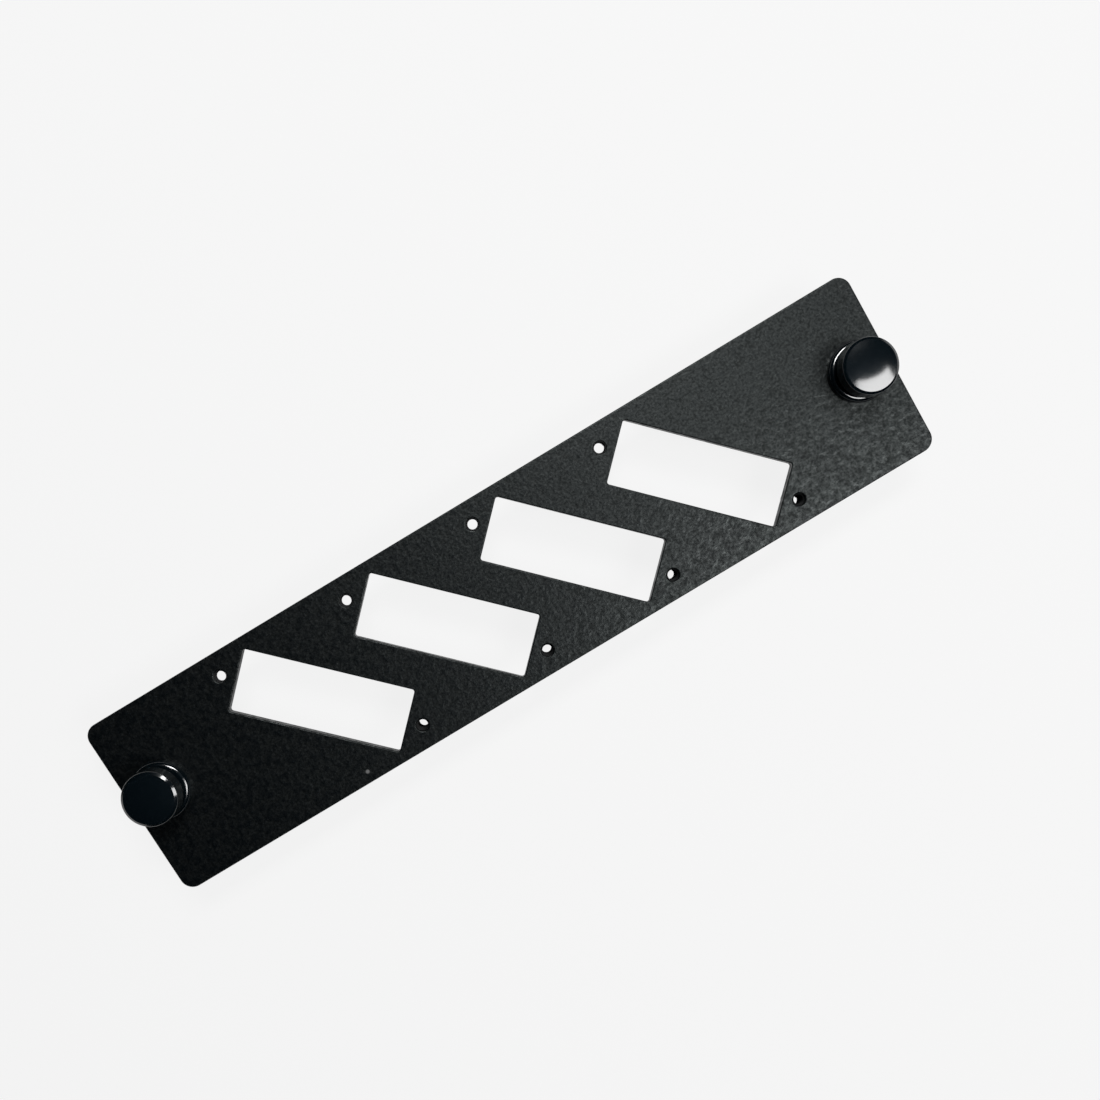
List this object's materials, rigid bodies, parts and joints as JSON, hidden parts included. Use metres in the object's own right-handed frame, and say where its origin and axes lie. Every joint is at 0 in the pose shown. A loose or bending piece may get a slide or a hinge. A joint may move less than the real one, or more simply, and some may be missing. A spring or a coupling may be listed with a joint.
{
  "type": "fibre adapter plate",
  "caption": "Flat powder-coated panel with slanted oblong cut-outs for duplex fibre adapters, fixed to its rack frame by a push-pull latch at each end.",
  "frame": {"origin": "middle of the sheet's flat back face", "axes": "+X along the plate, +Y to its upper long edge, +Z out of its front face, where the latch heads are"},
  "size_m": [0.13, 0.0286, 0.014],
  "materials": {
    "powder_coat": "black powder coat with a fine wrinkle",
    "black_nylon": "smooth moulded gloss"
  },
  "bodies": {
    "panel": {"plate": "powder_coat", "left_grommet": "black_nylon", "right_grommet": "black_nylon"},
    "left_push_pull": {"left_plunger": "black_nylon"},
    "right_push_pull": {"right_plunger": "black_nylon"}
  },
  "joints": [
    {"name": "left_pull", "type": "slide", "parent": "panel", "child": "left_push_pull", "axis": [0, 0, 1], "range_m": [0, 0.004]},
    {"name": "right_pull", "type": "slide", "parent": "panel", "child": "right_push_pull", "axis": [0, 0, 1], "range_m": [0, 0.004]}
  ]
}
